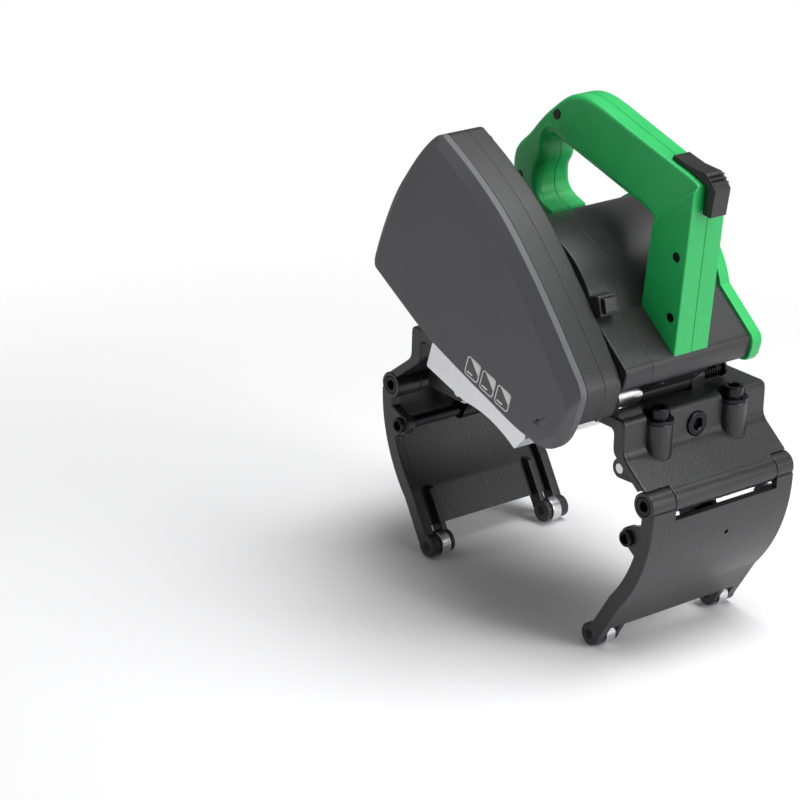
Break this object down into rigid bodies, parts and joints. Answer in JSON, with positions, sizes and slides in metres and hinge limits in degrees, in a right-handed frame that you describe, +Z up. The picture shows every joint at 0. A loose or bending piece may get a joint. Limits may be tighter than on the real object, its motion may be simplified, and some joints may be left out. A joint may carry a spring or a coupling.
{
  "type": "pipe cutting machine",
  "caption": "Clamp-on circular saw for cutting large pipes: a roller clamp with two swinging jaws carries a hinged, guarded saw unit with a D-handle.",
  "frame": {"origin": "on the axis of the pipe that the clamp sits on, in the middle plane of the saw blade", "axes": "+Z up through the clamp's flat top, +Y along the pipe from the blade to the clamp, X across the clamp with +X on the plunge hinge's side"},
  "size_m": [0.3312, 0.2115, 0.4222],
  "materials": {
    "cast_black": "rough cast paint",
    "guard_charcoal": "fine sand texture",
    "guard_dark": "fine sand texture",
    "gear_metal": "fine cast texture",
    "motor_plastic": "smooth satin",
    "green_plastic": "satin moulded",
    "black_plastic": "satin",
    "bright_steel": "turned",
    "blade_steel": "ground",
    "dark_steel": "black oxide",
    "bronze": "machined",
    "copper_windings": "wound",
    "iron_core": "laminated",
    "carbon": "pressed carbon"
  },
  "bodies": {
    "clamp": {"clamp_body": "cast_black", "post_screws": "dark_steel", "post_washers": "dark_steel", "roller_yokes": "cast_black", "yoke_axles": "bright_steel", "jaw_pins": "dark_steel", "plunge_pin": "dark_steel", "plunge_spring": "dark_steel"},
    "upper_rollers_right": {"yoke_rollers_right": "bright_steel"},
    "upper_rollers_left": {"yoke_rollers_left": "bright_steel"},
    "right_jaw": {"jaw_right": "cast_black", "jaw_bolt_right": "dark_steel", "jaw_axles_right": "dark_steel"},
    "left_jaw": {"jaw_left": "cast_black", "jaw_bolt_left": "dark_steel", "jaw_axles_left": "dark_steel"},
    "right_jaw_rollers": {"jaw_rollers_right": "bright_steel"},
    "left_jaw_rollers": {"jaw_rollers_left": "bright_steel"},
    "right_screw": {"clamp_screw_right": "dark_steel"},
    "left_screw": {"clamp_screw_left": "dark_steel"},
    "right_nut": {"clamp_nut_right": "bronze"},
    "left_nut": {"clamp_nut_left": "bronze"},
    "right_link": {"jaw_link_right": "dark_steel"},
    "left_link": {"jaw_link_left": "dark_steel"},
    "saw_unit": {"hinge_frame": "gear_metal", "hinge_frame_screws": "dark_steel", "guard_front_cover": "guard_charcoal", "guard_middle_ring": "guard_dark", "guard_rear_casing": "guard_dark", "guard_screws": "dark_steel", "gear_screws": "dark_steel", "spindle_bearings": "bright_steel", "gear_case": "gear_metal", "motor_housing": "motor_plastic", "rear_cover": "green_plastic", "motor_bearings": "bright_steel", "stator": "iron_core", "carbon_brushes": "carbon", "brush_bridge": "black_plastic", "handle_front_half": "green_plastic", "handle_rear_half": "green_plastic", "handle_screws": "dark_steel", "switch_body": "black_plastic"},
    "lower_guard": {"lower_guard": "bright_steel"},
    "blade_spindle": {"saw_blade": "blade_steel", "inner_flange": "bright_steel", "outer_flange": "bright_steel", "blade_bolt": "dark_steel", "spindle": "bright_steel", "driven_gear": "bright_steel"},
    "armature": {"armature": "copper_windings", "motor_pinion": "bright_steel", "cooling_fan": "black_plastic"},
    "spindle_lock": {"spindle_lock": "black_plastic"},
    "cover_latch": {"cover_latch": "black_plastic"},
    "power_switch": {"power_switch": "black_plastic"}
  },
  "joints": [
    {"name": "jaw_right_swing", "type": "hinge", "parent": "clamp", "child": "right_jaw", "pos_m": [0.1545, 0.122, 0.0632], "axis": [0, 1, 0], "range_deg": [-10, 25]},
    {"name": "nut_right_slide", "type": "slide", "parent": "clamp", "child": "right_nut", "axis": [-1, 0, 0], "range_m": [-0.0097, 0.0241]},
    {"name": "screw_right_turn", "type": "hinge", "parent": "clamp", "child": "right_screw", "pos_m": [0.1, 0.123, 0.1055], "axis": [1, 0, 0], "range_deg": [-1160, 2890]},
    {"name": "link_right_swing", "type": "hinge", "parent": "right_jaw", "child": "right_link", "pos_m": [0.1397, 0.123, 0.0322], "axis": [0, 1, 0], "range_deg": [-34.5, 13.9]},
    {"name": "jaw_rollers_right_spin", "type": "hinge", "parent": "right_jaw", "child": "right_jaw_rollers", "pos_m": [0.10185, 0.122, -0.06439], "axis": [0, 1, 0], "continuous": true},
    {"name": "upper_rollers_right_spin", "type": "hinge", "parent": "clamp", "child": "upper_rollers_right", "pos_m": [0.09871, 0.122, 0.06912], "axis": [0, 1, 0], "continuous": true},
    {"name": "jaw_left_swing", "type": "hinge", "parent": "clamp", "child": "left_jaw", "pos_m": [-0.1545, 0.122, 0.0632], "axis": [0, -1, 0], "range_deg": [-10, 25]},
    {"name": "nut_left_slide", "type": "slide", "parent": "clamp", "child": "left_nut", "axis": [1, 0, 0], "range_m": [-0.0097, 0.0241]},
    {"name": "screw_left_turn", "type": "hinge", "parent": "clamp", "child": "left_screw", "pos_m": [-0.1, 0.123, 0.1055], "axis": [-1, 0, 0], "range_deg": [-1160, 2890]},
    {"name": "link_left_swing", "type": "hinge", "parent": "left_jaw", "child": "left_link", "pos_m": [-0.1397, 0.123, 0.0322], "axis": [0, -1, 0], "range_deg": [-34.5, 13.9]},
    {"name": "jaw_rollers_left_spin", "type": "hinge", "parent": "left_jaw", "child": "left_jaw_rollers", "pos_m": [-0.10185, 0.122, -0.06439], "axis": [0, 1, 0], "continuous": true},
    {"name": "upper_rollers_left_spin", "type": "hinge", "parent": "clamp", "child": "upper_rollers_left", "pos_m": [-0.09871, 0.122, 0.06912], "axis": [0, 1, 0], "continuous": true},
    {"name": "plunge", "type": "hinge", "parent": "clamp", "child": "saw_unit", "pos_m": [0.101, 0.1, 0.132], "axis": [0, -1, 0], "range_deg": [0, 14], "stiffness_Nm_per_rad": 8, "springref_deg": -68.75},
    {"name": "lower_guard_swing", "type": "hinge", "parent": "saw_unit", "child": "lower_guard", "pos_m": [0.101, 0.07, 0.132], "axis": [0, 1, 0], "range_deg": [0, 14], "stiffness_Nm_per_rad": 0.15, "springref_deg": -45.84},
    {"name": "blade_spin", "type": "hinge", "parent": "saw_unit", "child": "blade_spindle", "pos_m": [0.02734, 0, 0.18172], "axis": [0, 1, 0], "continuous": true},
    {"name": "armature_spin", "type": "hinge", "parent": "saw_unit", "child": "armature", "pos_m": [0.0569, 0.1, 0.19851], "axis": [0, 1, 0], "continuous": true},
    {"name": "spindle_lock_press", "type": "slide", "parent": "saw_unit", "child": "spindle_lock", "axis": [-0.9622, 0, -0.2723], "range_m": [0, 0.0032], "stiffness_N_per_m": 900, "springref_m": -0.002},
    {"name": "cover_latch_turn", "type": "hinge", "parent": "saw_unit", "child": "cover_latch", "pos_m": [0.09804, 0.0165, 0.12443], "axis": [0, -1, 0], "range_deg": [0, 60]},
    {"name": "power_switch_slide", "type": "slide", "parent": "saw_unit", "child": "power_switch", "axis": [0.9593, 0, -0.2823], "range_m": [0, 0.006]}
  ],
  "couplings": [
    {"joint": "nut_right_slide", "follows": "jaw_right_swing", "m_per_rad": 0.054975},
    {"joint": "screw_right_turn", "follows": "jaw_right_swing", "ratio": 115.14},
    {"joint": "link_right_swing", "follows": "jaw_right_swing", "ratio": -1.375},
    {"joint": "nut_left_slide", "follows": "jaw_left_swing", "m_per_rad": 0.054975},
    {"joint": "screw_left_turn", "follows": "jaw_left_swing", "ratio": 115.14},
    {"joint": "link_left_swing", "follows": "jaw_left_swing", "ratio": -1.375},
    {"joint": "armature_spin", "follows": "blade_spin", "ratio": -3}
  ]
}
